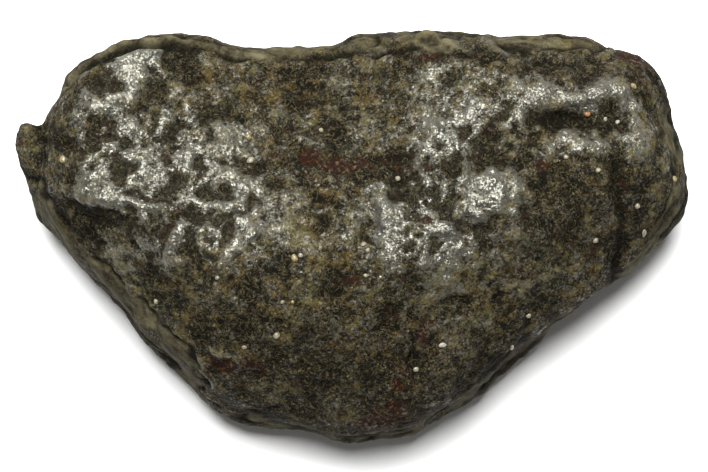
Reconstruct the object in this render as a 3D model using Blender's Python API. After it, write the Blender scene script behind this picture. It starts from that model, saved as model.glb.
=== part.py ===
"""A small iron meteorite, lying on the flat spot that it rests on.

The stone is one solid. It is described as the overlap of three shapes, blended where they meet: a wall that
follows the outline seen from above, the worn face on top and the underside. Shallow thumbprint hollows are
scooped out of its sides and underside. Rays sent out from inside the stone find that surface. A small knob
is joined on at the left end, and a decimation keeps the points where the shape turns and drops them where it
is flat.

The axes are +X along the longest side, +Y across it and +Z up. The origin is under the middle of the stone,
on the surface that it rests on. Sizes below are in millimetres and angles in degrees.
"""

import math

import bmesh
import bpy
import numpy as np
from mathutils import Matrix, Vector, noise

MM = 0.001

# The outline seen from above, anticlockwise from the right end. It is drawn without the knob.
OUTLINE = (
    (17.1, 2.2), (16.8, 4.0), (16.25, 5.8), (16.0, 6.9), (15.6, 8.0), (15.0, 8.6), (13.8, 9.25), (12.9, 9.6),
    (12.55, 9.85), (12.0, 10.1), (10.8, 10.2), (7.7, 10.2), (5.9, 10.4), (3.1, 10.45), (1.5, 10.25),
    (0.35, 10.25), (-0.25, 10.1), (-0.7, 9.8), (-1.4, 9.7), (-4.5, 9.6), (-5.7, 9.6), (-7.1, 10.1),
    (-7.9, 10.2), (-9.8, 10.2), (-11.7, 9.8), (-13.2, 9.2), (-13.9, 8.6), (-14.4, 8.0), (-14.8, 6.9),
    (-15.2, 6.3), (-15.9, 4.4), (-16.2, 3.0), (-15.8, 1.5), (-14.0, -1.1), (-11.55, -4.1), (-9.75, -6.1),
    (-7.6, -8.1), (-6.35, -9.1), (-5.3, -9.5), (-4.4, -9.65), (-2.9, -9.75), (-1.5, -10.1), (-0.1, -10.5),
    (1.4, -10.3), (3.2, -9.95), (5.0, -9.05), (6.5, -8.1), (7.7, -7.1), (8.9, -6.1), (9.9, -4.95),
    (10.15, -4.5), (11.3, -3.9), (12.3, -3.05), (13.9, -1.9), (15.5, -0.3), (16.65, 0.9), (17.0, 1.6),
)
SPAN_STEPS = 12

# The point inside the stone that the rays start from.
CORE = (0.0, 1.0, 4.6)

# The wall is widest at its waist and leans in above and below it. Each row is a direction, the height of the
# waist there, and how far the wall leans in at SHOULDER_HEIGHT and at the bottom.
SHOULDER_HEIGHT = 7.8
LEAN_POWER = 1.7
WALL = (
    (0, 4.0, 1.2, 3.2), (25, 5.0, 1.4, 4.4), (50, 5.6, 1.4, 4.4), (72, 5.0, 1.1, 3.6), (95, 4.4, 1.0, 3.2),
    (118, 5.0, 0.8, 4.0), (140, 5.4, 0.6, 4.6), (158, 4.8, 0.7, 4.2), (180, 3.4, 1.2, 2.8),
    (200, 2.2, 1.5, 1.4), (222, 1.8, 1.6, 1.0), (240, 2.0, 1.4, 1.2), (262, 2.3, 1.0, 1.6),
    (285, 2.1, 1.1, 1.4), (305, 1.8, 1.4, 1.0), (325, 1.9, 1.5, 1.0), (345, 2.8, 1.2, 1.8),
)

# The small steps of the outline show only this far above and below the waist. Beyond that the wall follows a
# softened outline, averaged over this many degrees to each side.
OUTLINE_REACH = 1.8
OUTLINE_SOFTENING = 11

# The facets of the worn face: a point on each, the direction in which it falls and its fall. The face lies
# under all of them.
FACE_FACETS = (
    (0.0, -2.2, 10.8, 90, 12),
    (-12.0, 4.0, 9.3, 122, 14),
    (12.0, 4.0, 9.3, 60, 13),
    (11.8, 7.7, 8.3, 76, 40),
    (-2.0, -3.3, 10.85, 268, 28),
    (0.0, -6.8, 8.7, 262, 46),
    (-11.6, 0.5, 9.9, 230, 27),
    (-10.0, -3.0, 8.0, 221, 48),
    (9.6, 1.2, 9.9, 302, 26),
    (9.4, -2.6, 8.1, 314, 47),
    (15.0, 3.6, 8.5, 8, 38),
    (-15.2, 3.4, 8.5, 176, 42),
    (-11.5, 9.2, 8.1, 118, 38),
)
FACE_BLEND = 1.3

# Humps (height above 0) and hollows (below 0) of the face: centre, half width, half depth, turn and height.
FACE_HUMPS = (
    (-2.6, 10.6, 7.0, 6.2, 0, -2.3),
    (0.8, 0.9, 0.7, 2.0, 4, -0.2),
    (11.2, 5.8, 2.4, 0.7, -6, -0.5),
    (12.4, 7.2, 2.2, 0.7, -8, 0.3),
    (6.6, 4.5, 0.8, 0.7, 0, -0.22),
    (4.6, 5.0, 1.6, 1.4, 20, 0.35),
    (6.6, 2.3, 2.0, 1.6, -20, 0.45),
    (3.3, -0.6, 2.2, 1.8, -35, 0.35),
    (8.2, 6.7, 1.6, 1.8, 0, 0.25),
    (11.4, 4.4, 1.6, 0.7, -8, 0.3),
    (-12.0, -0.2, 1.8, 1.2, -30, -0.4),
    (-14.3, 4.7, 0.9, 0.8, 0, -0.25),
    (-12.0, 7.6, 1.8, 1.3, 30, 0.3),
    (-5.7, 0.2, 0.9, 2.2, 0, 0.2),
    (4.6, 9.2, 3.0, 1.2, -8, 0.4),
)

# The underside rises from the flat spot in every direction: where each slope starts, measured from the middle
# of the flat spot, its direction and its rise.
FLAT_SPOT_MIDDLE = (0.4, 1.0)
UNDERSIDE_SLOPES = (
    (6.2, 0, 13), (5.8, 48, 18), (4.4, 88, 22), (5.6, 132, 17), (6.4, 178, 11), (5.6, 225, 9),
    (4.8, 268, 9), (5.8, 312, 10),
    (12.6, 12, 36), (11.2, 35, 42), (6.8, 70, 40), (6.4, 103, 42), (12.4, 148, 38), (13.6, 168, 32),
    (12.8, 196, 30), (10.6, 238, 30), (10.0, 259, 34), (9.9, 285, 30), (9.7, 322, 32), (12.7, 348, 30),
)
UNDERSIDE_BLEND = 0.8

# How far the blends between wall, face and underside reach.
SHOULDER_BLEND = 0.9
FOOT_BLEND = 1.3

# Thumbprint hollows: the direction and elevation of each as seen from the core, its width and its depth.
SCOOPS = (
    (6, -8, 4.0, 0.45), (34, -8, 4.6, 0.5), (66, -10, 5.0, 0.55), (101, -12, 4.6, 0.5), (133, -7, 4.8, 0.5),
    (163, -5, 3.8, 0.4), (16, 8, 3.4, 0.22), (84, 12, 3.6, 0.22),
    (200, -2, 4.2, 0.35), (222, -2, 4.6, 0.4), (240, 0, 3.6, 0.3), (256, -3, 4.0, 0.35),
    (276, -2, 4.2, 0.35), (296, -4, 4.4, 0.4), (318, -3, 4.6, 0.4), (338, -3, 4.0, 0.35),
    (183, -20, 5.0, 0.5), (157, -20, 5.0, 0.5), (208, -24, 4.6, 0.35), (355, -20, 5.0, 0.5),
    (19, -22, 4.6, 0.5), (43, -26, 4.8, 0.5), (72, -32, 4.4, 0.5), (108, -33, 4.2, 0.5),
    (138, -25, 4.6, 0.5), (328, -26, 4.6, 0.35), (287, -26, 3.6, 0.3), (247, -26, 3.6, 0.3),
)
SCOOP_BLEND = 0.5
PROBE = 0.05

# The knob at the left end is a short curved finger: points along it from tip to foot, each with a radius.
KNOB = (
    (-16.12, 5.3, 5.0, 0.58), (-16.1, 4.85, 4.9, 0.7), (-15.85, 4.1, 4.7, 0.85), (-15.35, 3.2, 4.3, 1.05),
    (-14.9, 2.4, 3.6, 1.25), (-14.6, 1.7, 3.0, 1.35),
)
BALLS_PER_SPAN = 4
BALL_ROUNDNESS = 3

# Lumps that break up the smooth facets: the size of each kind and how far it moves the surface. They are full
# height away from the waist, weaker on the face and at the waist, and they end at the flat spot.
LUMPS = ((4.6, 0.3), (2.3, 0.16), (1.2, 0.05))
FACE_SHARE_OF_LUMPS = 0.45
WAIST_SHARE_OF_LUMPS = 0.3
WAIST_REACH = 2.4
LUMPS_FADE_ABOVE_FLOOR = 1.4

# The gridded ball of rays, the even grid on which body and knob are joined, and what the decimation leaves.
GRID_CUTS = 95
STRETCH = (16.5, 9.8, 5.2)
RAY_LENGTH = 24.0
HALVINGS = 24
JOINING_GRID = 0.22
JOINT_SMOOTHINGS = 2
TRIANGLES = 9400
FLAT_WITHIN = 0.03

COLOUR = (0.062, 0.054, 0.038, 1.0)
ROUGHNESS = 0.42
METALLIC = 0.35


def smooth_max(a, b, reach):
    """The larger of a and b, rounded over where they are within reach of each other."""
    overlap = np.maximum(reach - np.abs(a - b), 0.0) / reach
    return np.maximum(a, b) + overlap**2 * reach / 4


def smooth_min(a, b, reach):
    return -smooth_max(-a, -b, reach)


def closed_curve(points, steps):
    """Points along the smooth closed curve through the given ones."""
    before, after, next_after = (np.roll(points, shift, 0) for shift in (1, -1, -2))
    spans = []
    for t in np.linspace(0, 1, steps, endpoint=False):
        spans.append(
            0.5 * (
                2 * points
                + (after - before) * t
                + (2 * before - 5 * points + 4 * after - next_after) * t**2
                + (3 * points - before - 3 * after + next_after) * t**3
            )
        )
    return np.stack(spans, 1).reshape(-1, points.shape[1])


def averaged(values, reach):
    """A closed row of values, each averaged with its neighbours up to reach steps away."""
    shifts = range(-reach, reach + 1)
    return sum(np.roll(values, shift) for shift in shifts) / len(shifts)


def wall_table():
    """A row for each whole degree: outline radius, softened outline radius, waist height and the two leans."""
    degrees = np.arange(360.0)
    curve = closed_curve(np.array(OUTLINE), SPAN_STEPS) - np.array(CORE[:2])
    directions = np.degrees(np.arctan2(curve[:, 1], curve[:, 0]))
    radius = np.interp(degrees, directions, np.hypot(curve[:, 0], curve[:, 1]), period=360)
    columns = [radius, averaged(radius, OUTLINE_SOFTENING)]
    rows = np.array(WALL)
    for column in rows[:, 1:].T:
        columns.append(averaged(np.interp(degrees, rows[:, 0], column, period=360), OUTLINE_SOFTENING))
    return columns


def read_wall(table, x, y):
    direction = np.degrees(np.arctan2(y - CORE[1], x - CORE[0]))
    degrees = np.arange(360.0)
    return [np.interp(direction, degrees, column, period=360) for column in table]


def wall(x, y, z, table):
    """How far each point is outside the wall."""
    outline, soft_outline, waist, lean_above, lean_below = read_wall(table, x, y)
    above = np.clip((z - waist) / (SHOULDER_HEIGHT - waist), 0.0, 2.0)
    below = np.clip((waist - z) / waist, 0.0, 1.0)
    detail = np.exp(-(((z - waist) / OUTLINE_REACH) ** 2))
    radius = soft_outline + (outline - soft_outline) * detail
    radius -= lean_above * above**LEAN_POWER + lean_below * below**LEAN_POWER
    return np.hypot(x - CORE[0], y - CORE[1]) - radius


def humps(rows, x, y):
    """The sum of soft round humps and hollows at x, y."""
    total = np.zeros_like(x)
    for centre_x, centre_y, half_width, half_depth, turn, height in rows:
        cosine, sine = math.cos(math.radians(turn)), math.sin(math.radians(turn))
        along = ((x - centre_x) * cosine + (y - centre_y) * sine) / half_width
        across = ((y - centre_y) * cosine - (x - centre_x) * sine) / half_depth
        total += height * np.exp(-(along**2 + across**2))
    return total


def face_height(x, y):
    height = np.full_like(x, RAY_LENGTH)
    for point_x, point_y, point_z, direction, fall in FACE_FACETS:
        turn = math.radians(direction)
        run = (x - point_x) * math.cos(turn) + (y - point_y) * math.sin(turn)
        height = smooth_min(height, point_z - run * math.tan(math.radians(fall)), FACE_BLEND)
    return height + humps(FACE_HUMPS, x, y)


def underside_height(x, y):
    height = np.zeros_like(x)
    for start, direction, rise in UNDERSIDE_SLOPES:
        turn = math.radians(direction)
        run = (x - FLAT_SPOT_MIDDLE[0]) * math.cos(turn) + (y - FLAT_SPOT_MIDDLE[1]) * math.sin(turn)
        height = smooth_max(height, (run - start) * math.tan(math.radians(rise)), UNDERSIDE_BLEND)
    return height


def stone(points, table, scoops):
    """Below 0 inside the stone, above 0 outside it and 0 on its surface."""
    x, y, z = points.T
    body = smooth_max(wall(x, y, z, table), z - face_height(x, y), SHOULDER_BLEND)
    body = smooth_max(body, underside_height(x, y) - z, FOOT_BLEND)
    for centre, radius in scoops:
        body = smooth_max(body, radius - np.linalg.norm(points - centre, axis=1), SCOOP_BLEND)
    return body


def surface_points(rays, table, scoops):
    """Where each ray from the core leaves the stone."""
    near, far = np.zeros(len(rays)), np.full(len(rays), RAY_LENGTH)
    for _ in range(HALVINGS):
        middle = (near + far) / 2
        inside = stone(np.array(CORE) + middle[:, None] * rays, table, scoops) < 0
        near, far = np.where(inside, middle, near), np.where(inside, far, middle)
    return np.array(CORE) + near[:, None] * rays


def scoop_balls(table):
    """The ball that cuts each thumbprint hollow, as its centre and its radius."""
    balls = []
    for direction, elevation, width, depth in SCOOPS:
        turn, rise = math.radians(direction), math.radians(elevation)
        ray = np.array([math.cos(rise) * math.cos(turn), math.cos(rise) * math.sin(turn), math.sin(rise)])
        place = surface_points(ray[None, :], table, ())[0]
        outward = stone(place + PROBE * np.eye(3), table, ()) - stone(place - PROBE * np.eye(3), table, ())
        outward /= np.linalg.norm(outward)
        radius = (width**2 / 4 + depth**2) / (2 * depth)
        balls.append((place + (radius - depth) * outward, radius))
    return balls


def ray_ball():
    """A mesh of even quads made from a gridded cube. Its corners are the directions of the rays."""
    ball = bmesh.new()
    bmesh.ops.create_cube(ball, size=2.0)
    bmesh.ops.subdivide_edges(ball, edges=ball.edges[:], cuts=GRID_CUTS, use_grid_fill=True)
    for vertex in ball.verts:
        even = Vector([math.tan(c * math.pi / 4) for c in vertex.co]).normalized()
        vertex.co = [c * s for c, s in zip(even, STRETCH)]
        vertex.co.normalize()
    mesh = bpy.data.meshes.new("rays")
    ball.to_mesh(mesh)
    ball.free()
    return mesh


def get_vectors(items, name):
    values = np.empty(len(items) * 3, dtype=np.float32)
    items.foreach_get(name, values)
    return values.reshape(-1, 3).astype(float)


def lumps(points):
    """The height of the lumps at each point."""
    return np.array([sum(h * noise.noise(Vector(p) / size) for size, h in LUMPS) for p in points])


def add_lumps(mesh, table):
    """Moves the points of the mesh along their normals."""
    points, normals = get_vectors(mesh.vertices, "co"), get_vectors(mesh.vertex_normals, "vector")
    x, y, z = points.T
    waist = read_wall(table, x, y)[2]
    away_from_waist = 1 - np.exp(-(((z - waist) / WAIST_REACH) ** 2))
    share = WAIST_SHARE_OF_LUMPS + (1 - WAIST_SHARE_OF_LUMPS) * away_from_waist
    share *= 1 - (1 - FACE_SHARE_OF_LUMPS) * np.clip(normals[:, 2], 0.0, 1.0)
    share *= np.clip(z / LUMPS_FADE_ABOVE_FLOOR, 0.0, 1.0)
    points += (lumps(points) * share)[:, None] * normals
    mesh.vertices.foreach_set("co", points.astype(np.float32).ravel())
    mesh.update()


def add_knob(mesh):
    """Adds overlapping balls to the mesh, in a row along the knob."""
    body = bmesh.new()
    body.from_mesh(mesh)
    ends = np.array(KNOB)
    for start, end in zip(ends[:-1], ends[1:]):
        for share in np.linspace(0, 1, BALLS_PER_SPAN + 1):
            x, y, z, radius = start + share * (end - start)
            place = Matrix.Translation((x, y, z))
            bmesh.ops.create_icosphere(body, subdivisions=BALL_ROUNDNESS, radius=radius, matrix=place)
    body.to_mesh(mesh)
    body.free()


def modified(mesh, kind, settings):
    """The mesh as a modifier of that kind leaves it."""
    carrier = bpy.data.objects.new("carrier", mesh)
    bpy.context.scene.collection.objects.link(carrier)
    modifier = carrier.modifiers.new(kind, kind)
    for name, value in settings.items():
        setattr(modifier, name, value)
    graph = bpy.context.evaluated_depsgraph_get()
    result = bpy.data.meshes.new_from_object(carrier.evaluated_get(graph))
    bpy.data.objects.remove(carrier)
    bpy.data.meshes.remove(mesh)
    return result


def stone_mesh():
    mesh = ray_ball()
    table = wall_table()
    points = surface_points(get_vectors(mesh.vertices, "co"), table, scoop_balls(table))
    mesh.vertices.foreach_set("co", points.astype(np.float32).ravel())
    add_knob(mesh)
    mesh = modified(mesh, "REMESH", {"mode": "VOXEL", "voxel_size": JOINING_GRID})
    mesh = modified(mesh, "SMOOTH", {"iterations": JOINT_SMOOTHINGS})
    add_lumps(mesh, table)
    return mesh


def thinned_out(dense):
    """A decimated copy of the mesh, in metres, on the floor and with the middle of its box over the origin."""
    triangles = sum(len(face.vertices) - 2 for face in dense.polygons)
    mesh = modified(dense, "DECIMATE", {"ratio": TRIANGLES / triangles})
    points = get_vectors(mesh.vertices, "co")
    low, high = points.min(0), points.max(0)
    points -= ((low[0] + high[0]) / 2, (low[1] + high[1]) / 2, low[2])
    points[points[:, 2] < FLAT_WITHIN, 2] = 0.0
    mesh.vertices.foreach_set("co", (points * MM).astype(np.float32).ravel())
    mesh.name = "meteorite"
    mesh.update()
    return mesh


def crust():
    material = bpy.data.materials.new("oxide_crust")
    material.use_nodes = True
    shader = material.node_tree.nodes["Principled BSDF"]
    shader.inputs["Base Color"].default_value = COLOUR
    shader.inputs["Roughness"].default_value = ROUGHNESS
    shader.inputs["Metallic"].default_value = METALLIC
    return material


def main():
    for obj in list(bpy.data.objects):
        bpy.data.objects.remove(obj)
    meteorite = bpy.data.objects.new("meteorite", thinned_out(stone_mesh()))
    bpy.context.scene.collection.objects.link(meteorite)
    meteorite.data.shade_smooth()
    meteorite.data.materials.append(crust())


main()
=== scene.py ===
"""The looks of a small iron meteorite, photographed from straight above on a bright white table.

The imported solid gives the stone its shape. A copy of it gets an even fine mesh, on which the creases, steps,
pits and lumps of the real surface are raised and sunk. The oxide crust is painted with procedural patterns,
and with masks stored on the points of that mesh. Sizes of the stone and its sand are in millimetres. The
table, the light and the camera are set out in metres.
"""

import math

import bmesh
import bpy
import numpy as np
from mathutils import Matrix, Vector, noise
from mathutils.bvhtree import BVHTree

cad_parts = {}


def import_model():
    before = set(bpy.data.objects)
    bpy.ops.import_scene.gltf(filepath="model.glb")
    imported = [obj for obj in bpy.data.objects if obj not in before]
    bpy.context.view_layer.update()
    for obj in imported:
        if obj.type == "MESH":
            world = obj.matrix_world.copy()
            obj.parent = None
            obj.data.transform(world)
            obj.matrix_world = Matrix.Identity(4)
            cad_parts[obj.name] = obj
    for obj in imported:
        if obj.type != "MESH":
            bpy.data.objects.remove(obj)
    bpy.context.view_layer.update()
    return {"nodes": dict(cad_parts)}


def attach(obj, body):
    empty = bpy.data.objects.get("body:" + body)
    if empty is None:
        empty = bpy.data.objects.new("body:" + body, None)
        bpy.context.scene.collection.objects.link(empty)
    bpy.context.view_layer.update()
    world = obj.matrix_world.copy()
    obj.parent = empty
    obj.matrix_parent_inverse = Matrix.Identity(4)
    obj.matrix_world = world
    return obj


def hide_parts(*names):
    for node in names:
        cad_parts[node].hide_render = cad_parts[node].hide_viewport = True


MM = 0.001

# The even mesh that carries the relief, and how softly it is rounded before the relief is added.
MESH_GRID = 0.144
ROUNDINGS = 2

# The face begins over this range of heights. Below it the sides have lumps but no small hollows.
FACE_HEIGHTS = (1.6, 3.2)
# All relief fades out downwards over the first of these ranges, and the swellings over the second.
FOOT_HEIGHTS = (0.0, 0.8)
SWELLING_HEIGHTS = (1.0, 3.0)

# How far up a surface has to point, as the z of its normal, to take part in each of these.
UPPER_TILTS = (-0.05, 0.2)
FACE_TILTS = (0.0, 0.3)
POLISHED_TILTS = (0.6, 0.82)
RUSTY_TILTS = (-0.2, 0.2)

# Grooves and ridges along a line: the points of the line, half its width, and its height above 0 or depth
# below 0.
LINES = (
    # The rim of the left lobe, a groove with a light ridge on each side of it.
    (((-14.4, 7.7), (-13.8, 8.3), (-12.9, 8.8), (-12.0, 9.25), (-10.9, 9.6), (-9.8, 9.75), (-8.3, 9.55),
      (-7.7, 9.35)), 0.15, -0.36),
    (((-14.6, 7.9), (-13.9, 8.55), (-12.0, 9.55), (-9.8, 10.0), (-8.0, 9.85)), 0.15, 0.12),
    (((-13.6, 8.0), (-12.7, 8.5), (-11.8, 8.85), (-10.8, 9.2), (-9.6, 9.35)), 0.15, 0.14),
    # The edge between the saddle and the top band.
    (((-6.6, 8.9), (-5.2, 8.8), (-2.6, 8.75), (-0.2, 8.8), (0.6, 8.7)), 0.22, 0.1),
    (((-6.6, 9.2), (-5.2, 9.1), (-2.6, 9.05), (-0.2, 9.1)), 0.16, -0.1),
    # The fold and the sharp ridge in the middle of the top edge.
    (((0.5, 8.55), (1.5, 9.0), (1.9, 9.1), (2.6, 8.75)), 0.16, 0.14),
    (((3.5, 10.2), (4.6, 9.8), (5.2, 9.5), (5.9, 9.3), (6.5, 9.45), (7.1, 9.4), (7.6, 9.1),
      (8.1, 8.5)), 0.15, 0.22),
    (((3.6, 9.85), (4.6, 9.4), (5.3, 9.1), (6.2, 9.05), (7.0, 9.0)), 0.22, -0.16),
    (((5.9, 10.2), (6.5, 9.75), (6.8, 9.5)), 0.14, 0.16),
    # The lower edge of the band over the brown bevel, and the step at the corner.
    (((8.1, 8.8), (9.3, 9.15), (10.3, 9.3), (12.8, 9.2)), 0.15, 0.13),
    (((8.3, 8.5), (9.5, 8.8), (11.0, 8.9), (12.6, 8.85)), 0.2, -0.09),
    (((12.0, 10.0), (12.5, 9.8), (12.9, 9.5)), 0.15, -0.16),
    # The double line down the right edge.
    (((15.6, 5.9), (16.1, 4.4), (16.3, 3.25), (16.0, 2.35), (16.1, 1.7), (15.7, 1.0), (15.2, 0.1),
      (14.9, -0.15)), 0.13, -0.13),
    (((15.2, 5.9), (15.7, 4.6), (15.9, 3.4), (15.6, 2.3), (15.5, 1.4)), 0.16, 0.08),
    # The sharp ridges at the lower left.
    (((-11.4, -2.2), (-10.9, -2.9), (-9.9, -3.6), (-9.4, -4.4), (-8.7, -4.6), (-8.2, -5.25), (-7.7, -5.9),
      (-7.2, -6.75), (-7.0, -7.25), (-7.2, -7.65)), 0.15, 0.16),
    (((-7.0, -5.6), (-6.0, -6.0), (-5.5, -6.5)), 0.14, 0.15),
    # The ridge and the groove over the brown strip at the lower right.
    (((9.2, -4.7), (7.4, -6.3), (6.8, -6.9), (6.1, -7.35)), 0.14, 0.15),
    (((9.5, -4.9), (7.6, -6.6), (6.3, -7.7)), 0.2, -0.12),
    # The upright crack below the crown.
    (((2.9, -3.3), (2.75, -4.2), (2.95, -5.2), (2.85, -6.0), (3.0, -6.8)), 0.09, -0.16),
    (((2.65, -3.3), (2.5, -4.2), (2.7, -5.2), (2.6, -6.0), (2.75, -6.8)), 0.1, 0.08),
    # The soft ridge in the middle of the crown, and the one left of it.
    (((-0.1, 1.9), (0.1, 0.6), (-0.1, -0.6)), 0.5, 0.08),
    (((-5.5, 2.6), (-5.6, 1.0), (-5.9, -0.4), (-6.2, -1.3)), 0.45, 0.1),
    # The dark hollow on the left, and the edge above it.
    (((-14.2, 2.3), (-13.2, 1.9), (-12.0, 1.85), (-10.9, 1.9), (-9.9, 1.6), (-9.2, 0.9)), 0.3, 0.22),
    (((-13.6, 1.2), (-12.4, 1.0), (-11.2, 0.9), (-10.2, 0.6)), 0.5, -0.22),
    # The valley and the arc of the right lobe.
    (((8.6, 6.1), (9.8, 5.95), (11.2, 5.85), (12.4, 5.6)), 0.38, -0.24),
    (((9.6, 6.9), (10.8, 6.95), (12.3, 7.4), (13.4, 7.15), (14.2, 6.4), (14.5, 5.5), (14.1, 4.6)), 0.6, 0.2),
    (((10.6, 4.9), (11.4, 4.75), (12.3, 4.7)), 0.4, 0.18),
    # The soft upright groove on the right, and the pale fold at its foot.
    (((13.2, 3.9), (13.1, 2.0), (13.3, 0.0), (13.1, -2.4)), 0.34, -0.26),
    (((13.5, -0.8), (13.6, -1.3), (13.5, -1.8)), 0.16, 0.12),
)

# The smooth bands along the outline, each with a crease beside it: the middle line, and half the width.
BANDS = (
    (((-14.8, 7.15), (-14.4, 8.0), (-13.4, 8.9), (-12.2, 9.55), (-10.7, 9.9), (-8.9, 10.0), (-7.7, 9.8),
      (-6.9, 9.5)), 0.2),
    (((-6.4, 9.3), (-5.0, 9.3), (-3.2, 9.3), (-0.7, 9.55), (0.8, 9.8)), 0.34),
    (((0.8, 9.75), (2.8, 9.9), (4.8, 9.85)), 0.5),
    (((4.8, 9.85), (7.3, 9.85), (9.8, 9.8), (12.1, 9.75)), 0.34),
    (((-16.0, 2.4), (-15.8, 1.9), (-14.7, 0.15), (-13.2, -1.5), (-11.7, -2.85), (-10.2, -4.35), (-8.9, -5.6),
      (-7.9, -7.1)), 0.5),
    (((15.5, 6.4), (15.9, 4.9), (16.4, 3.15), (16.3, 2.15), (15.6, 0.65), (14.6, -0.85),
      (13.6, -2.2)), 0.36),
    (((9.3, -4.9), (7.3, -6.7), (5.1, -8.45), (3.3, -9.6), (0.8, -10.4), (-2.2, -10.1), (-5.2, -9.0)), 0.25),
)
# Where a band fades out, in half widths from its middle line, and how much of the roughness it takes away.
BAND_EDGE = (0.75, 1.15)
BAND_QUIET = 0.6
BAND_CREASE_DEPTH = 0.16
CREASE_HALF_WIDTH = 0.14
# A groove this deep counts as a full crease, and a ridge this high as a full one, if it is narrow.
FULL_CREASE = 0.36
FULL_RIDGE = 0.2
WIDEST_RIDGE = 0.25

# Noise that breaks up the bands and their creases: its size, its seed and the range that it is ramped over.
BAND_BREAKS = (1.7, 90.0, -0.45, 0.05)
CREASE_BREAKS = (1.3, 77.0, -0.5, 0.3)
# The grooves and ridges get weaker and stronger along their length: the mean, the spread, and size and seed.
LINE_MEAN = 0.75
LINE_SPREAD = 0.8
LINE_NOISE = (1.1, 31.0)

# Round pits, and bumps with a height above 0: centre, half width, half depth, turn in degrees, height.
SPOTS = (
    (2.2, 2.5, 0.5, 0.55, 0, -0.15), (3.6, 2.65, 0.5, 0.5, 0, -0.14), (6.6, 4.5, 0.5, 0.45, 0, -0.16),
    (4.7, 1.75, 0.4, 0.4, 0, -0.2), (10.3, 7.6, 0.3, 0.22, 0, -0.28), (10.1, 8.1, 0.5, 0.14, 10, 0.14),
    (12.8, 6.45, 0.35, 0.4, 0, -0.2), (-12.6, 7.6, 0.7, 0.35, 0, -0.2), (-14.4, 4.7, 0.6, 0.35, 10, -0.22),
    (-8.7, 1.0, 1.1, 0.6, 0, -0.2), (3.8, 5.2, 0.6, 1.2, 10, 0.14), (6.9, 2.6, 0.8, 0.7, 0, 0.14),
    (8.4, 2.4, 0.5, 0.5, 0, 0.16), (6.1, 6.4, 0.7, 0.35, 0, 0.14), (8.1, 7.4, 0.7, 0.4, 0, 0.16),
    (8.3, 6.1, 0.6, 0.35, 0, 0.12), (4.9, 0.3, 0.5, 0.5, 0, 0.16), (3.6, -1.2, 0.6, 0.4, 0, 0.14),
    (-2.7, -0.5, 0.7, 0.4, 0, 0.12), (-6.7, -6.3, 0.5, 0.35, -30, -0.2), (3.5, -9.0, 0.3, 0.3, 0, -0.25),
    (10.2, -4.3, 0.35, 0.5, 30, -0.2), (-12.0, 6.3, 0.8, 0.4, 20, 0.14), (-13.0, 5.4, 0.5, 0.4, 0, -0.14),
    (-11.4, 4.3, 0.6, 0.5, 0, 0.12), (-10.0, 3.0, 0.9, 0.4, -20, 0.14), (-7.0, 2.5, 0.5, 0.5, 0, -0.14),
    (1.6, 0.9, 0.3, 0.8, 0, 0.12), (4.3, 3.9, 0.5, 0.6, 0, -0.12), (5.6, 2.9, 0.5, 0.5, 0, 0.14),
)

# A swelling at the upper right corner and a dip at the upper left rim, which follow the photo's outline.
SWELLINGS = ((14.3, 8.3, 1.7, 1.0, -38, 0.34), (-12.9, 9.4, 1.2, 0.5, 35, -0.12))

# Lumps: their size and height. PITTED says where the face is pitted, in rows like those of SPOTS, with a
# strength for the height. PITTED_GAIN is how many times higher the lumps of each size are there.
LUMPS = ((2.4, 0.11), (1.15, 0.08), (0.62, 0.08), (0.36, 0.06))
PITTED = (
    (-10.6, 4.0, 4.2, 3.4, 0, 1.0), (-6.0, 0.8, 3.2, 2.6, 0, 0.8), (3.2, 1.6, 3.4, 2.8, 0, 0.9),
    (7.4, 3.8, 2.2, 2.6, 0, 0.6), (12.6, 6.2, 2.4, 1.8, 0, 0.5),
)
PITTED_GAIN = (1.0, 2.0, 2.2, 1.8)
# Small separate hollows, deeper in the pitted parts: size, depth on the face, depth in the pitted parts.
HOLLOWS = ((1.5, 0.03, 0.08), (0.85, 0.04, 0.20), (0.5, 0.03, 0.14))
# The seed of their noise, and the range of it over which a hollow reaches its full depth.
HOLLOW_SEED = 60.0
HOLLOW_EDGE = (0.17, 0.42)
# The hollow mask runs from 0 to 1 over this much relief, half of it above the even mesh and half below.
HOLLOW_REACH = 0.5
# The share of the height of the lumps on the upright sides and on the underside.
WALL_GAIN = 0.8
UNDERSIDE_GAIN = 1.2
# How much of the smooth colour of the bands the sides below the face have.
WALL_SMOOTH = 0.6

# Noise bends the lines and spots sideways: how far, the size of the noise, and its seeds for x and y.
WOBBLE = 0.3
WOBBLE_SIZE = 0.9
WOBBLE_SEEDS = (7.0, 19.0)

# The parts of the face that are rubbed bare and glossy, with a painted sheen on them. The rest of it has
# a duller, dustier crust. The rows of this list and the next two are like those of SPOTS, with a strength
# for the height.
POLISHED = (
    (-10.4, 3.5, 3.2, 2.6, 10, 1.7), (-12.0, 8.2, 2.0, 1.2, 34, 2.9), (-10.6, 9.0, 1.4, 0.25, 10, 1.2),
    (-6.4, 1.6, 2.6, 2.4, -10, 0.8), (-5.9, 0.4, 0.8, 2.2, 0, 0.6), (-10.8, -0.2, 1.6, 1.4, 0, 1.6),
    (-2.8, 0.4, 3.2, 1.6, 0, 0.08), (3.6, 0.8, 2.6, 2.6, 20, 1.6), (4.6, 4.8, 1.6, 1.8, 0, 1.2),
    (6.6, 2.5, 1.6, 1.5, 0, 1.2), (6.4, 6.4, 1.6, 1.0, 0, 0.7), (8.4, 6.8, 1.4, 1.6, 0, 0.8),
    (12.0, 7.1, 2.1, 0.9, -8, 0.95), (13.8, 5.6, 0.5, 1.3, 10, 0.6), (11.4, 4.7, 1.8, 0.7, 0, 0.8),
    (-4.6, 5.0, 2.4, 1.4, 0, 0.3), (2.4, 8.2, 2.0, 1.0, 0, 0.3), (5.0, 8.3, 1.6, 0.7, 0, 0.4),
)
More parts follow.
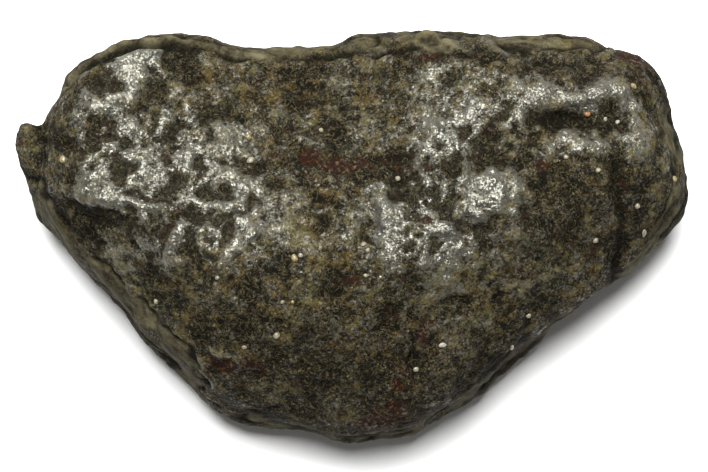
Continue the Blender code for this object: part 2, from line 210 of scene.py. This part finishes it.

# Dark places where nothing shines. Some are brown and black crust, and in the valleys, pits and hollows and
# over the lower front, which faces away from the light, the darkening is painted shade.
DULL_AND_SHADED = (
    (11.0, 8.35, 3.2, 0.75, -8, 1.0), (-0.7, 3.7, 3.6, 0.8, -4, 0.9), (4.3, 9.1, 2.4, 0.4, 0, 0.7),
    (-2.5, 8.3, 3.5, 0.5, 0, 0.5), (-12.4, 0.9, 1.1, 0.9, 0, 0.5), (10.4, 5.9, 2.2, 0.45, -5, 0.8),
    (12.8, 6.45, 0.5, 0.5, 0, 0.9), (6.6, 4.5, 0.7, 0.7, 0, 0.7), (5.1, 3.4, 1.3, 0.5, 0, 0.6),
    (2.0, -6.5, 8.5, 3.4, 0, 0.45), (-12.7, 7.7, 0.5, 0.3, 20, 0.5), (10.6, 1.5, 3.0, 2.6, 0, 0.4),
    (-8.8, 1.1, 1.0, 0.6, 0, 0.6), (-14.6, 4.7, 0.6, 0.5, 0, 0.7),
)

# Rusty places.
RUSTY = (
    (-6.6, -6.25, 0.5, 0.4, 0, 0.8), (-5.3, -6.4, 1.6, 0.35, -4, 0.8), (-0.3, -2.1, 0.7, 0.2, 20, 0.9),
    (-0.9, 3.75, 2.8, 0.45, -5, 0.6), (-2.2, 4.0, 0.5, 0.4, 0, 0.5), (3.5, 0.65, 0.4, 0.3, 0, 0.9),
    (9.5, 3.6, 0.45, 0.3, 0, 0.9), (10.7, -3.2, 0.5, 0.4, 0, 0.7), (3.5, -4.5, 0.35, 0.9, 0, 0.9),
    (2.3, -7.6, 0.5, 1.0, -20, 0.8), (1.2, -9.2, 1.2, 0.5, 10, 1.0), (13.9, 8.65, 0.9, 0.5, -20, 0.7),
    (11.8, -0.6, 0.4, 0.4, 0, 0.6), (8.2, -5.9, 2.2, 0.3, 40, 0.8), (-16.5, 4.9, 0.4, 0.4, 0, 0.8),
    (4.3, 9.15, 2.0, 0.35, 0, 0.5),
)


def along_line(x, y, points):
    """How far each place is from the line through the points, in plan."""
    nearest = np.full(len(x), 1e9)
    for (x0, y0), (x1, y1) in zip(points[:-1], points[1:]):
        run_x, run_y = x1 - x0, y1 - y0
        share = np.clip(((x - x0) * run_x + (y - y0) * run_y) / (run_x**2 + run_y**2), 0.0, 1.0)
        nearest = np.minimum(nearest, np.hypot(x - x0 - share * run_x, y - y0 - share * run_y))
    return nearest


def spots(rows, x, y):
    """The sum of soft round spots at each place."""
    total = np.zeros(len(x))
    for centre_x, centre_y, half_width, half_depth, turn, height in rows:
        cosine, sine = math.cos(math.radians(turn)), math.sin(math.radians(turn))
        along = ((x - centre_x) * cosine + (y - centre_y) * sine) / half_width
        across = ((y - centre_y) * cosine - (x - centre_x) * sine) / half_depth
        total += height * np.exp(-(along**2 + across**2))
    return total


def ramp(value, low, high):
    """From 0 at low to 1 at high, with a soft start and end."""
    t = np.clip((value - low) / (high - low), 0.0, 1.0)
    return t * t * (3 - 2 * t)


def noise_at(points, size, seed):
    """Smooth noise from about -1 to 1 at each point."""
    shift = Vector((seed, seed, seed))
    return np.array([noise.noise(Vector(p) / size + shift) for p in points])


def get_vectors(items, name):
    values = np.empty(len(items) * 3, dtype=np.float32)
    items.foreach_get(name, values)
    return values.reshape(-1, 3).astype(float)


def evaluated(mesh, kind, settings):
    """The mesh as a modifier of that kind leaves it."""
    carrier = bpy.data.objects.new("carrier", mesh)
    bpy.context.scene.collection.objects.link(carrier)
    modifier = carrier.modifiers.new(kind, kind)
    for name, value in settings.items():
        setattr(modifier, name, value)
    graph = bpy.context.evaluated_depsgraph_get()
    result = bpy.data.meshes.new_from_object(carrier.evaluated_get(graph))
    bpy.data.objects.remove(carrier)
    bpy.data.meshes.remove(mesh)
    return result


def even_mesh(node):
    """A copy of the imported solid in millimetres, with an even fine mesh."""
    mesh = node.data.copy()
    mesh.materials.clear()
    points = get_vectors(mesh.vertices, "co") / MM
    mesh.vertices.foreach_set("co", points.astype(np.float32).ravel())
    grid = MESH_GRID
    mesh = evaluated(mesh, "REMESH", {"mode": "VOXEL", "voxel_size": grid})
    return evaluated(mesh, "SMOOTH", {"iterations": ROUNDINGS})


def set_mask(mesh, name, values):
    attribute = mesh.attributes.new(name, "FLOAT", "POINT")
    attribute.data.foreach_set("value", np.clip(values, 0.0, 1.0).astype(np.float32))


def roughness(points, normals, face, pitted):
    """The height of the lumps and small hollows."""
    height = np.zeros(len(points))
    side_gain = WALL_GAIN + (UNDERSIDE_GAIN - WALL_GAIN) * np.abs(normals[:, 2])
    for (size, lump_height), gain in zip(LUMPS, PITTED_GAIN):
        share = face * (1 + (gain - 1) * pitted) + (1 - face) * side_gain
        height += lump_height * noise_at(points, size, size) * share
    for size, depth, pitted_depth in HOLLOWS:
        share = face * depth + pitted * (pitted_depth - depth)
        height -= share * ramp(noise_at(points, size, HOLLOW_SEED + size), *HOLLOW_EDGE)
    return height


def bands(points, x, y, upper):
    """How much each point lies in a smooth band, and in the crease beside one."""
    band, crease = np.zeros(len(points)), np.zeros(len(points))
    for line, half_width in BANDS:
        distance = along_line(x, y, line) / half_width
        band = np.maximum(band, 1.0 - ramp(distance, *BAND_EDGE))
        past_edge = (distance - BAND_EDGE[1]) * half_width / CREASE_HALF_WIDTH
        crease = np.maximum(crease, np.exp(-(past_edge**2)))
    for mask, (size, seed, low, high) in ((band, BAND_BREAKS), (crease, CREASE_BREAKS)):
        mask *= upper * ramp(noise_at(points, size, seed), low, high)
    return band, crease


def grooves_and_ridges(points, x, y, upper):
    """The height of the lines, and how much each point lies in a deep groove or on a narrow ridge."""
    height, groove, ridge = np.zeros(len(points)), np.zeros(len(points)), np.zeros(len(points))
    strength = LINE_MEAN + LINE_SPREAD * noise_at(points, *LINE_NOISE)
    for line, half_width, full_height in LINES:
        shape = np.exp(-((along_line(x, y, line) / half_width) ** 2)) * upper * strength
        height += full_height * shape
        groove = np.maximum(groove, -full_height / FULL_CREASE * shape)
        if half_width < WIDEST_RIDGE:
            ridge = np.maximum(ridge, full_height / FULL_RIDGE * shape)
    return height, groove, ridge


def carve(mesh):
    """Raises and sinks the mesh along its normals, and stores the masks that the crust is painted with."""
    points, normals = get_vectors(mesh.vertices, "co"), get_vectors(mesh.vertex_normals, "vector")
    x, y, z = points.T
    up = normals[:, 2]
    bent_x = x + WOBBLE * noise_at(points, WOBBLE_SIZE, WOBBLE_SEEDS[0])
    bent_y = y + WOBBLE * noise_at(points, WOBBLE_SIZE, WOBBLE_SEEDS[1])
    upper = ramp(up, *UPPER_TILTS)
    face = ramp(z, *FACE_HEIGHTS) * ramp(up, *FACE_TILTS)
    pitted = np.clip(spots(PITTED, x, y), 0.0, 1.0) * face

    band, crease = bands(points, bent_x, bent_y, upper)
    carved, groove, ridge = grooves_and_ridges(points, bent_x, bent_y, upper)
    lift = roughness(points, normals, face, pitted) * (1.0 - BAND_QUIET * band) - BAND_CREASE_DEPTH * crease
    lift += carved + spots(SPOTS, bent_x, bent_y) * upper
    lift *= ramp(z, *FOOT_HEIGHTS)

    set_mask(mesh, "polished", spots(POLISHED, bent_x, bent_y) * face * ramp(up, *POLISHED_TILTS))
    # The hollow mask paints shade into the hollows and light onto the heights.
    set_mask(mesh, "hollow", 0.5 - lift / HOLLOW_REACH)
    # The crease mask paints shade into the creases and grooves.
    set_mask(mesh, "crease", np.maximum(crease, groove))
    # The ridge mask paints a highlight along the narrow ridges.
    set_mask(mesh, "ridge", ridge)
    set_mask(mesh, "side", np.maximum(WALL_SMOOTH * (1.0 - face), band))
    # The dull mask darkens the crust: partly dark crust, partly painted shade in the valleys, pits and hollows
    # and over the lower front.
    set_mask(mesh, "dull", spots(DULL_AND_SHADED, bent_x, bent_y) * upper)
    set_mask(mesh, "rusty", spots(RUSTY, bent_x, bent_y) * ramp(up, *RUSTY_TILTS))
    lift += spots(SWELLINGS, x, y) * ramp(z, *SWELLING_HEIGHTS)
    points += lift[:, None] * normals
    points[:, 2] = np.maximum(points[:, 2], 0.0)
    mesh.vertices.foreach_set("co", (points * MM).astype(np.float32).ravel())
    mesh.update()


class Nodes:
    """Builds the node tree of one material."""

    def __init__(self, name):
        self.material = bpy.data.materials.new(name)
        self.material.use_nodes = True
        self.tree = self.material.node_tree
        self.shader = self.tree.nodes["Principled BSDF"]

    def add(self, kind, values=None, **settings):
        node = self.tree.nodes.new(kind)
        for name, value in settings.items():
            setattr(node, name, value)
        for socket, value in (values or {}).items():
            self.feed(node.inputs[socket], value)
        return node

    def feed(self, socket, value):
        if isinstance(value, bpy.types.NodeSocket):
            self.tree.links.new(value, socket)
        else:
            socket.default_value = value

    def place_mm(self):
        """The place on the stone in millimetres."""
        place = self.add("ShaderNodeTexCoord").outputs["Object"]
        return self.vectors("SCALE", {0: place, 3: 1 / MM})

    def noise(self, place, per_mm, detail=2.0, roughness=0.5, distortion=0.0):
        values = {"Vector": place, "Scale": per_mm, "Detail": detail, "Roughness": roughness,
                  "Distortion": distortion}
        return self.add("ShaderNodeTexNoise", values).outputs["Fac"]

    def cells(self, place, per_mm, output):
        return self.add("ShaderNodeTexVoronoi", {"Vector": place, "Scale": per_mm}).outputs[output]

    def steps(self, value, low, high, out_low=0.0, out_high=1.0):
        """The value stretched from low..high to out_low..out_high, and kept in that range."""
        values = {0: value, 1: low, 2: high, 3: out_low, 4: out_high}
        return self.add("ShaderNodeMapRange", values).outputs[0]

    def maths(self, operation, a, b=0.0):
        return self.add("ShaderNodeMath", {0: a, 1: b}, operation=operation).outputs[0]

    def product(self, first, *others):
        for other in others:
            first = self.maths("MULTIPLY", first, other)
        return first

    def vectors(self, operation, values):
        return self.add("ShaderNodeVectorMath", values, operation=operation).outputs[0]

    def total(self, first, *others):
        for other in others:
            first = self.maths("ADD", first, other)
        return first

    def blend(self, share, a, b):
        """Colour a, or b where the share is 1."""
        node = self.add("ShaderNodeMix", data_type="RGBA")
        for index, value in ((0, share), (6, a), (7, b)):
            self.feed(node.inputs[index], value)
        return node.outputs[2]

    def mask(self, name):
        return self.add("ShaderNodeAttribute", attribute_name=name).outputs["Fac"]


CHARCOAL = (0.0030, 0.0026, 0.0014, 1.0)
DARK_BROWN = (0.0105, 0.0068, 0.0022, 1.0)
SLATE = (0.0090, 0.0095, 0.0070, 1.0)
OLIVE = (0.046, 0.039, 0.0120, 1.0)
EARTH = (0.038, 0.026, 0.0075, 1.0)
TAN = (0.14, 0.116, 0.058, 1.0)
RUST = (0.0125, 0.0046, 0.0026, 1.0)
ORANGE_RUST = (0.065, 0.026, 0.008, 1.0)
# A painted sheen on the rubbed places.
PALE_SHEEN = (0.115, 0.106, 0.072, 1.0)
BARE = (0.125, 0.123, 0.105, 1.0)
SIDE_OLIVE = (0.098, 0.087, 0.050, 1.0)
SIDE_DARK = (0.017, 0.0145, 0.0085, 1.0)
# A painted highlight along the narrow ridges.
RIDGE_HIGHLIGHT = (0.15, 0.134, 0.085, 1.0)

# Noise patterns of the crust: how many to the millimetre, their detail, roughness and distortion.
HUES = (0.8, 5.0, 0.65)
BROAD_PATCHES = (0.9, 3.0, 0.6)
DIRT_PATCHES = (1.2, 5.0, 0.7)
PATCHES = (1.7, 7.0, 0.78, 0.2)
SMALL_PATCHES = (2.6, 2.0, 0.6)
GRIT = (15.0, 3.0, 0.7)
VEINS = (2.4, 4.0, 0.6, 0.8)
RUST_PATCHES = (1.6, 5.0, 0.7)
RUST_SPECKS = (5.0, 3.0, 0.7)
RUBBING = (1.4, 4.0, 0.7)
SHEEN_PATCHES = (4.0, 6.0, 0.8)
GLINTS = (5.0, 4.0, 0.78)
STREAKS = (1.0, 6.0, 0.68, 0.3)
SIDE_PATCHES = (1.5, 6.0, 0.75)
BROAD_RELIEF = (1.7, 2.0, 0.6, 0.2)
FINE_RELIEF = (4.5, 3.5, 0.7)

# The fine relief that is too small for the mesh, and the share of it that the bands and sides keep.
BROAD_RELIEF_HEIGHT = 0.10
FINE_RELIEF_HEIGHT = 0.060
PORE_DEPTH = 0.03
PORES_PER_MM = 5.5
SIDE_RELIEF_SHARE = 0.35
# The crystals of bare metal, and how far each leans in its own direction, on the face and on the sides.
CRYSTALS_PER_MM = 10.5
CRYSTAL_LEAN = 0.37
SIDE_CRYSTAL_LEAN = 0.08
# The streaks of the sides run level: their pattern is drawn out along x and y and squeezed along z.
SIDE_LAYERS = (0.55, 0.55, 1.5)

CRUST_IOR = 1.13
MATT_ROUGHNESS = 0.85
BARE_ROUGHNESS = 0.32
# How metallic the barest places are.
BARE_METAL = 0.85

# How much of the colour below it each of these covers at its fullest.
GRIT_COVER = 0.42
TAN_CRYSTAL_COVER = 0.4
VEIN_COVER = 0.55
RUST_COVER = 0.9
PALE_SHEEN_COVER = 0.8
BARE_COVER = 0.9
SIDE_COVER = 0.90
RIDGE_HIGHLIGHT_COVER = 0.4
CREASE_SHADE_COVER = 0.7
# Heights are lighter and hollows darker by HOLLOW_SHADE_TONE, as painted light and painted shade, the deepest
# hollows once more by DEEP_HOLLOW_SHADE_TONE, and dull places by DULL_SHADE_TONE, partly darker crust and
# partly painted shade. DULL_HUE makes dull places browner.
HOLLOW_SHADE_TONE = 0.12
DEEP_HOLLOW_SHADE_TONE = -0.12
DULL_SHADE_TONE = -0.16
DULL_HUE = 0.07
# Rubbed places are glossier by RUBBED_GLOSS and heights by HOLLOW_GLOSS. Hollows are less glossy by as much,
# and the deepest of them once more by DEEP_HOLLOW_GLOSS.
RUBBED_GLOSS = 0.17
HOLLOW_GLOSS = 0.13
DEEP_HOLLOW_GLOSS = -0.2
# What is left of the gloss on bands, sides and creases, of the rubbing and the bare metal on dull crust, of
# the bare metal where nothing is rubbed, and of the painted pale sheen and the dirt in hollows.
EDGE_GLOSS = 0.1
DULL_RUBBING = 0.15
DULL_BARE = 0.4
UNRUBBED_BARE = 0.4
HOLLOW_SHEEN = 0.2
HOLLOW_DIRT = 0.15
# How far from its middle value the noise of the veins still shows one.
VEIN_HALF_WIDTH = 0.014
# The share of the crystals that aren't tan.
PLAIN_CRYSTALS = 0.92


def ground_colour(n, place, dull, hollow, crystal):
    """Dark and olive crust in patches, with tan grit and thin tan veins, and darker in the hollows."""
    hue = n.maths("SUBTRACT", n.noise(place, *HUES), n.product(dull, DULL_HUE))
    # The hollow terms are painted shade in the hollows and painted light on the heights, and the dull term is
    # partly darker crust and partly painted shade.
    tone = n.total(n.noise(place, *PATCHES), n.steps(hollow, 0.1, 0.9, HOLLOW_SHADE_TONE, -HOLLOW_SHADE_TONE),
                   n.steps(n.noise(place, *BROAD_PATCHES), 0.35, 0.65, -0.07, 0.07),
                   n.steps(n.noise(place, *SMALL_PATCHES), 0.35, 0.65, -0.07, 0.05),
                   n.steps(hollow, 0.62, 0.9, 0.0, DEEP_HOLLOW_SHADE_TONE),
                   n.product(dull, DULL_SHADE_TONE), n.steps(crystal[0], 0.0, 1.0, -0.05, 0.04))
    dark = n.blend(n.steps(hue, 0.44, 0.58), DARK_BROWN, SLATE)
    dark = n.blend(n.steps(tone, 0.40, 0.49), CHARCOAL, dark)
    light = n.blend(n.steps(hue, 0.42, 0.56), EARTH, OLIVE)
    colour = n.blend(n.steps(tone, 0.49, 0.60), dark, light)

    open_crust = n.steps(hollow, 0.5, 0.75, 1.0, HOLLOW_DIRT)
    grit = n.product(n.steps(n.noise(place, *GRIT), 0.54, 0.68), open_crust,
                     n.steps(n.noise(place, *DIRT_PATCHES), 0.40, 0.62, 0.0, GRIT_COVER))
    tan_crystals = n.product(n.steps(crystal[1], PLAIN_CRYSTALS, 1.0, 0.0, TAN_CRYSTAL_COVER), open_crust)
    off_vein = n.maths("ABSOLUTE", n.maths("SUBTRACT", n.noise(place, *VEINS), 0.5))
    veins = n.steps(off_vein, 0.0, VEIN_HALF_WIDTH, VEIN_COVER, 0.0)
    for share in (grit, tan_crystals, veins):
        colour = n.blend(share, colour, TAN)
    return colour


def rust_cover(n, place):
    """How much rust there is, and its colour."""
    spread = n.steps(n.noise(place, *RUST_PATCHES), 0.36, 0.62, -0.45, 0.45)
    rust = n.steps(n.maths("ADD", n.mask("rusty"), spread), 0.25, 0.7, 0.0, RUST_COVER)
    return rust, n.blend(n.steps(n.noise(place, *RUST_SPECKS), 0.56, 0.66), RUST, ORANGE_RUST)


def rubbing(n, place, dull, rust):
    """How far the crust is rubbed down to the metal."""
    uneven = n.maths("ADD", n.mask("polished"), n.steps(n.noise(place, *RUBBING), 0.34, 0.66, -0.5, 0.4))
    return n.product(n.steps(uneven, -0.1, 1.1), n.maths("SUBTRACT", 1.0, rust),
                     n.steps(dull, 0.0, 1.0, 1.0, DULL_RUBBING))


def glossiness(n, place, rubbed, hollow, crystal):
    """How glossy the crust is: most on rubbed crystals on the heights, least in hollows and creases."""
    gloss = n.total(n.noise(place, *GLINTS), n.product(rubbed, RUBBED_GLOSS),
                    n.steps(hollow, 0.1, 0.9, HOLLOW_GLOSS, -HOLLOW_GLOSS),
                    n.steps(hollow, 0.62, 0.85, 0.0, DEEP_HOLLOW_GLOSS),
                    n.steps(crystal[2], 0.0, 1.0, -0.05, 0.05))
    return n.product(n.steps(gloss, 0.53, 0.68), n.steps(n.mask("side"), 0.0, 1.0, 1.0, EDGE_GLOSS),
                     n.steps(n.mask("crease"), 0.2, 0.8, 1.0, EDGE_GLOSS))


def with_edges(n, place, colour):
    """The colour with the streaked bands and sides, the light ridges and the black creases laid over it."""
    layers = n.vectors("MULTIPLY", {0: place, 1: SIDE_LAYERS})
    side_colour = n.blend(n.steps(n.noise(layers, *STREAKS), 0.38, 0.60), SIDE_DARK, SIDE_OLIVE)
    smooth_side = n.steps(n.noise(place, *SIDE_PATCHES), 0.40, 0.60, 0.15, SIDE_COVER)
    colour = n.blend(n.product(n.mask("side"), smooth_side), colour, side_colour)
    # A painted highlight along the narrow ridges.
    colour = n.blend(n.steps(n.mask("ridge"), 0.55, 1.0, 0.0, RIDGE_HIGHLIGHT_COVER), colour, RIDGE_HIGHLIGHT)
    # Painted shade in the creases and grooves.
    return n.blend(n.steps(n.mask("crease"), 0.15, 0.85, 0.0, CREASE_SHADE_COVER), colour, CHARCOAL)


def crust_normal(n, place, crystals):
    """Fine relief and pores, with each crystal leaning its own way."""
    side = n.mask("side")
    height = n.total(n.product(n.noise(place, *BROAD_RELIEF), BROAD_RELIEF_HEIGHT),
                     n.product(n.noise(place, *FINE_RELIEF), FINE_RELIEF_HEIGHT),
                     n.product(n.cells(place, PORES_PER_MM, "Distance"), -PORE_DEPTH))
    bump = n.add("ShaderNodeBump", {"Height": height, "Distance": MM,
                                    "Strength": n.steps(side, 0.0, 1.0, 1.0, SIDE_RELIEF_SHARE)})
    lean = n.vectors("SUBTRACT", {0: crystals, 1: (0.5, 0.5, 0.5)})
    lean = n.vectors("SCALE", {0: lean, 3: n.steps(side, 0.0, 1.0, CRYSTAL_LEAN, SIDE_CRYSTAL_LEAN)})
    return n.vectors("NORMALIZE", {0: n.vectors("ADD", {0: bump.outputs[0], 1: lean})})


def crust():
    """The worn oxide crust: dark, speckled with olive and tan grains, glossy where it is rubbed bare."""
    n = Nodes("worn_crust")
    place, hollow = n.place_mm(), n.mask("hollow")
    crystals = n.cells(place, CRYSTALS_PER_MM, "Color")
    crystal = n.add("ShaderNodeSeparateXYZ", {0: crystals}).outputs
    soot = n.steps(n.noise(place, *DIRT_PATCHES), 0.36, 0.64, -0.3, 0.3)
    dull = n.steps(n.maths("ADD", n.mask("dull"), soot), 0.1, 0.8)
    rust, rust_colour = rust_cover(n, place)
    rubbed = rubbing(n, place, dull, rust)
    gloss = glossiness(n, place, rubbed, hollow, crystal)
    bare = n.product(gloss, n.steps(rubbed, 0.0, 0.8, UNRUBBED_BARE, 1.0),
                     n.steps(dull, 0.0, 1.0, 1.0, DULL_BARE))
    # A painted sheen: the rubbed places are painted paler, less so in the hollows.
    pale = n.product(rubbed, n.steps(n.noise(place, *SHEEN_PATCHES), 0.40, 0.62, 0.0, PALE_SHEEN_COVER),
                     n.steps(hollow, 0.35, 0.65, 1.0, HOLLOW_SHEEN))

    colour = ground_colour(n, place, dull, hollow, crystal)
    colour = n.blend(rust, colour, rust_colour)
    colour = n.blend(pale, colour, PALE_SHEEN)
    colour = n.blend(n.product(bare, BARE_COVER), colour, BARE)
    n.feed(n.shader.inputs["Base Color"], with_edges(n, place, colour))
    n.feed(n.shader.inputs["Metallic"], n.product(bare, BARE_METAL))
    n.feed(n.shader.inputs["Roughness"], n.steps(gloss, 0.0, 1.0, MATT_ROUGHNESS, BARE_ROUGHNESS))
    n.feed(n.shader.inputs["Normal"], crust_normal(n, place, crystals))
    n.shader.inputs["IOR"].default_value = CRUST_IOR
    return n.material


def add_piece(name, mesh, material):
    mesh.name = name
    mesh.shade_smooth()
    mesh.materials.append(material)
    piece = bpy.data.objects.new(name, mesh)
    bpy.context.scene.collection.objects.link(piece)
    return piece


def stone(frame):
    mesh = even_mesh(frame["nodes"]["meteorite"])
    carve(mesh)
    piece = add_piece("stone", mesh, crust())
    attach(piece, "root")
    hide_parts("meteorite")
    return piece


# The sand grains lodged in the pits: place in plan, half width, stretch, turn in degrees, and kind of sand.
GRAINS = (
    (-5.2, 5.0, 0.14, 1.1, 20, "yellow"), (-6.0, 3.0, 0.17, 1.15, 70, "cream"),
    (-5.1, 3.85, 0.17, 1.2, 30, "cream"), (-1.6, 5.35, 0.12, 1.0, 0, "cream"),
    (-2.9, -1.0, 0.16, 1.3, 10, "yellow"), (-2.6, -0.85, 0.11, 1.0, 0, "white"),
    (0.5, -0.35, 0.14, 1.2, 50, "cream"), (0.7, -0.6, 0.11, 1.1, 0, "cream"),
    (2.2, 2.95, 0.13, 1.0, 0, "cream"), (-14.4, 3.9, 0.15, 1.3, 15, "yellow"),
    (-9.8, -3.15, 0.12, 1.1, 0, "cream"), (-6.7, -1.95, 0.11, 1.0, 0, "cream"),
    (-3.8, -4.8, 0.16, 1.1, 40, "cream"), (-5.4, -5.4, 0.11, 1.2, 0, "cream"),
    (-3.5, -3.15, 0.10, 1.0, 0, "cream"), (-3.0, -3.15, 0.09, 1.2, 80, "yellow"),
    (0.6, -1.85, 0.11, 1.0, 0, "cream"), (3.1, -6.5, 0.12, 1.2, 0, "cream"),
    (4.4, -5.3, 0.12, 1.5, 15, "white"), (7.9, -5.45, 0.11, 2.0, 70, "cream"),
    (8.7, -3.85, 0.12, 1.1, 0, "cream"), (12.0, -0.1, 0.14, 1.0, 0, "cream"),
    (14.5, 0.25, 0.12, 2.0, 60, "cream"), (14.1, 1.6, 0.13, 1.0, 0, "cream"),
    (16.0, 2.95, 0.12, 1.2, 0, "yellow"), (12.1, 3.35, 0.13, 1.0, 0, "cream"),
    (10.5, 4.0, 0.12, 1.0, 0, "cream"), (11.6, 6.15, 0.13, 1.2, 0, "orange"),
    (12.5, 5.9, 0.11, 1.0, 0, "white"), (13.1, 5.75, 0.11, 1.0, 0, "white"),
    (13.9, 7.55, 0.14, 1.2, 30, "yellow"),
)
SAND = {
    "cream": (0.185, 0.168, 0.112, 1.0),
    "yellow": (0.18, 0.14, 0.060, 1.0),
    "white": (0.25, 0.24, 0.20, 1.0),
    "orange": (0.20, 0.085, 0.028, 1.0),
}
# A grain is lower than it is wide, and more than half of it stands out of the crust. Its height and the lift
# of its middle are shares of its half width, and so is the unevenness that noise gives it.
GRAIN_HEIGHT = 0.75
GRAIN_LIFT = 0.25
GRAIN_UNEVENNESS = 0.28
GRAIN_LUMPS = 0.9
GRAIN_SEED = 3.7
GRAIN_SUBDIVISIONS = 3
ABOVE_THE_STONE = 20.0
SAND_IOR = 1.5
SAND_RELIEF = 0.02
SAND_RELIEF_STRENGTH = 0.8
SAND_DIRT = (9.0, 3.0, 0.6)
SAND_GLOSS_PER_MM = 6.0
SAND_BUMPS_PER_MM = 10.0


def sand():
    """Quartz sand: each grain its own colour, a little dirty, with a glassy gloss in places."""
    n = Nodes("sand")
    place = n.place_mm()
    colour = n.add("ShaderNodeAttribute", attribute_name="grain_colour").outputs["Color"]
    dirt = n.steps(n.noise(place, *SAND_DIRT), 0.42, 0.66, 0.0, 0.55)
    n.feed(n.shader.inputs["Base Color"], n.blend(dirt, colour, EARTH))
    n.feed(n.shader.inputs["Roughness"], n.steps(n.noise(place, SAND_GLOSS_PER_MM), 0.35, 0.65, 0.3, 0.6))
    n.shader.inputs["IOR"].default_value = SAND_IOR
    bump = n.add("ShaderNodeBump", {"Height": n.product(n.noise(place, SAND_BUMPS_PER_MM), SAND_RELIEF),
                                    "Strength": SAND_RELIEF_STRENGTH, "Distance": MM})
    n.feed(n.shader.inputs["Normal"], bump.outputs[0])
    return n.material


def sand_grains(ground):
    """Small rounded grains, partly sunk into the crust."""
    surface = BVHTree.FromObject(ground, bpy.context.evaluated_depsgraph_get())
    grains = bmesh.new()
    layer = grains.verts.layers.float_color.new("grain_colour")
    down = Vector((0.0, 0.0, -1.0))
    for x, y, half_width, stretch, turn, kind in GRAINS:
        foot, normal, _, _ = surface.ray_cast(Vector((x, y, ABOVE_THE_STONE)) * MM, down)
        ball = bmesh.ops.create_icosphere(grains, subdivisions=GRAIN_SUBDIVISIONS, radius=half_width)
        turned = normal.to_track_quat("Z", "Y").to_matrix() @ Matrix.Rotation(math.radians(turn), 3, "Z")
        shift = Vector((x, y, turn)) * GRAIN_SEED
        for vert in ball["verts"]:
            vert.co *= 1.0 + GRAIN_UNEVENNESS * noise.noise(vert.co / half_width * GRAIN_LUMPS + shift)
            vert.co.x *= stretch
            vert.co.z *= GRAIN_HEIGHT
            vert.co.z += GRAIN_LIFT * half_width
            vert.co = foot + turned @ vert.co * MM
            vert[layer] = SAND[kind]
    mesh = bpy.data.meshes.new("sand_grains")
    grains.to_mesh(mesh)
    grains.free()
    piece = add_piece("sand_grains", mesh, sand())
    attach(piece, "root")


# The table, the light, the room and the camera, in metres, degrees and watts.
TABLE_HALF_WIDTH = 0.4
TABLE_COLOUR = (0.9, 0.9, 0.9, 1.0)
TABLE_ROUGHNESS = 0.9
TABLE_SPECULAR = 0.2
KEY_TILT = 25
KEY_TURN = 96
KEY_DISTANCE = 0.5
KEY_WIDTH = 0.30
KEY_WATTS = 8.2
ROOM_COLOUR = (1.0, 0.99, 0.96, 1.0)
ROOM_STRENGTH = 0.16
BACKDROP_STRENGTH = 1.1
CAMERA_DISTANCE = 0.30
CAMERA_LOOKS_AT = (0.000025, 0.0001, 0.006)
SENSOR_WIDTH_MM = 36.0
VIEW_WIDTH = 0.0354
NEAREST_SEEN = 0.01
FARTHEST_SEEN = 10.0


def floor():
    mesh = bpy.data.meshes.new("table")
    plate = bmesh.new()
    bmesh.ops.create_grid(plate, x_segments=1, y_segments=1, size=TABLE_HALF_WIDTH)
    plate.to_mesh(mesh)
    plate.free()
    n = Nodes("white_table")
    n.shader.inputs["Base Color"].default_value = TABLE_COLOUR
    n.shader.inputs["Roughness"].default_value = TABLE_ROUGHNESS
    n.shader.inputs["Specular IOR Level"].default_value = TABLE_SPECULAR
    mesh.materials.append(n.material)
    table = bpy.data.objects.new("table", mesh)
    bpy.context.scene.collection.objects.link(table)


def key_light():
    """A round softbox, KEY_TILT degrees from straight above, towards the KEY_TURN direction."""
    data = bpy.data.lights.new("key", "AREA")
    data.shape = "DISK"
    data.size = KEY_WIDTH
    data.energy = KEY_WATTS
    lamp = bpy.data.objects.new("key", data)
    tilt, turn = math.radians(KEY_TILT), math.radians(KEY_TURN)
    away = Vector((math.sin(tilt) * math.cos(turn), math.sin(tilt) * math.sin(turn), math.cos(tilt)))
    lamp.location = away * KEY_DISTANCE
    lamp.rotation_euler = away.to_track_quat("Z", "Y").to_euler()
    bpy.context.scene.collection.objects.link(lamp)


def world():
    """A dim room that lights the stone a little, with a white backdrop beyond the table."""
    sky = bpy.data.worlds.new("room")
    sky.use_nodes = True
    background = sky.node_tree.nodes["Background"]
    background.inputs["Color"].default_value = ROOM_COLOUR
    strength = sky.node_tree.nodes.new("ShaderNodeMapRange")
    strength.inputs["To Min"].default_value = ROOM_STRENGTH
    strength.inputs["To Max"].default_value = BACKDROP_STRENGTH
    seen = sky.node_tree.nodes.new("ShaderNodeLightPath").outputs["Is Camera Ray"]
    sky.node_tree.links.new(seen, strength.inputs["Value"])
    sky.node_tree.links.new(strength.outputs["Result"], background.inputs["Strength"])
    bpy.context.scene.world = sky


def camera():
    """Straight above the stone, as in the photo."""
    data = bpy.data.cameras.new("camera")
    data.sensor_width = SENSOR_WIDTH_MM
    data.lens = SENSOR_WIDTH_MM * CAMERA_DISTANCE / VIEW_WIDTH
    data.clip_start = NEAREST_SEEN
    data.clip_end = FARTHEST_SEEN
    viewer = bpy.data.objects.new("camera", data)
    x, y, z = CAMERA_LOOKS_AT
    viewer.location = (x, y, z + CAMERA_DISTANCE)
    bpy.context.scene.collection.objects.link(viewer)
    bpy.context.scene.camera = viewer


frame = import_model()
sand_grains(stone(frame))
floor()
key_light()
world()
camera()
bpy.context.scene.view_settings.view_transform = "Standard"
